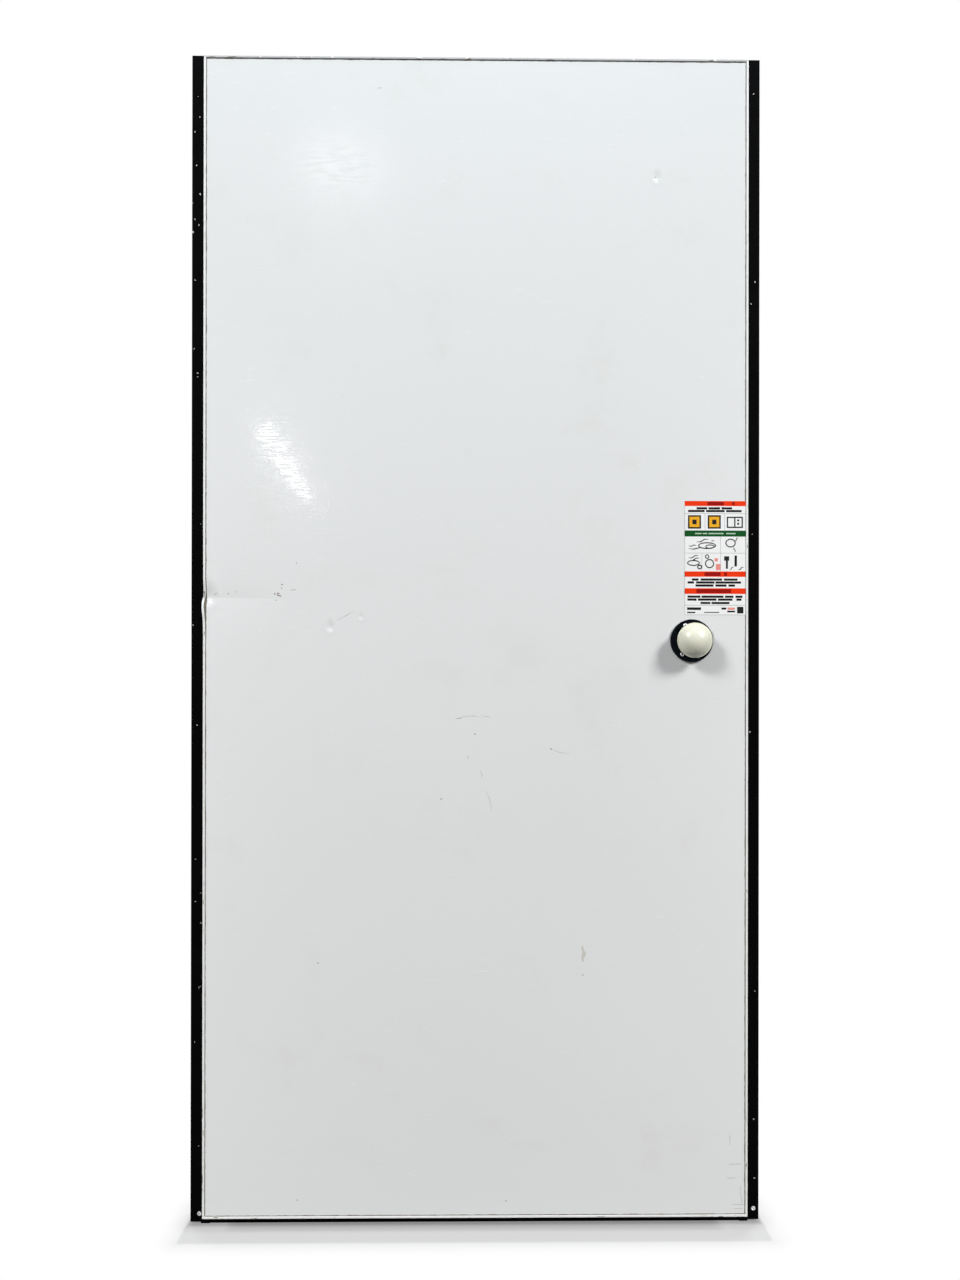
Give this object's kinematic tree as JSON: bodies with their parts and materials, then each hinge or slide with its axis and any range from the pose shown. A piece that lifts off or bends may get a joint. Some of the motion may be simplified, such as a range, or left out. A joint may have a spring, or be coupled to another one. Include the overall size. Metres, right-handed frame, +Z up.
{
  "type": "walk-in cooler door leaf",
  "caption": "Insulated swing door leaf with a plug face, overlapping flange, magnetic gasket, strap hinges, latch and inside push release.",
  "frame": {"origin": "on the hinge pin axis, at the flat foot of the bottom hinge bush", "axes": "+Z up, +X from the hinges to the latch, -Y into the cold room"},
  "size_m": [0.995, 0.185, 1.994],
  "materials": {
    "inside_steel": "gloss",
    "outside_steel": "gloss",
    "white_rail": "satin",
    "black_breaker": "matte",
    "foam": "matte",
    "gasket_vinyl": "satin",
    "sweep_vinyl": "satin",
    "retainer_bar": "satin",
    "rose_black": "gloss",
    "knob_glow": "gloss",
    "rod_steel": "brushed",
    "guide_plastic": "matte",
    "hinge_casting": "satin",
    "bush_nylon": "satin",
    "latch_casting": "satin",
    "bolt_nylon": "satin",
    "lock_metal": "polished"
  },
  "bodies": {
    "leaf": {"inner_skin": "inside_steel", "outer_pan": "outside_steel", "foam_core": "foam", "edge_rail_bottom": "white_rail", "edge_rail_latch_side": "white_rail", "edge_rail_top": "white_rail", "edge_rail_hinge_side": "white_rail", "breaker_bottom": "black_breaker", "breaker_latch_side": "black_breaker", "breaker_top": "black_breaker", "breaker_hinge_side": "black_breaker", "gasket_latch_side": "gasket_vinyl", "gasket_top": "gasket_vinyl", "gasket_hinge_side": "gasket_vinyl", "bottom_sweep": "sweep_vinyl", "sweep_retainer": "retainer_bar", "release_guide": "guide_plastic", "release_rose": "rose_black", "hinge_strap_bottom": "hinge_casting", "hinge_bush_bottom": "bush_nylon", "hinge_cap_bottom": "bush_nylon", "hinge_strap_top": "hinge_casting", "hinge_bush_top": "bush_nylon", "hinge_cap_top": "bush_nylon", "latch_housing": "latch_casting", "latch_lever": "latch_casting", "latch_pin": "rod_steel", "latch_bolt": "bolt_nylon", "lock_cylinder": "lock_metal"},
    "release": {"release_knob": "knob_glow", "release_rod": "rod_steel"}
  },
  "joints": [
    {"name": "release_push", "type": "slide", "parent": "leaf", "child": "release", "axis": [0, 1, 0], "range_m": [0, 0.008], "stiffness_N_per_m": 500, "springref_m": -0.01}
  ]
}
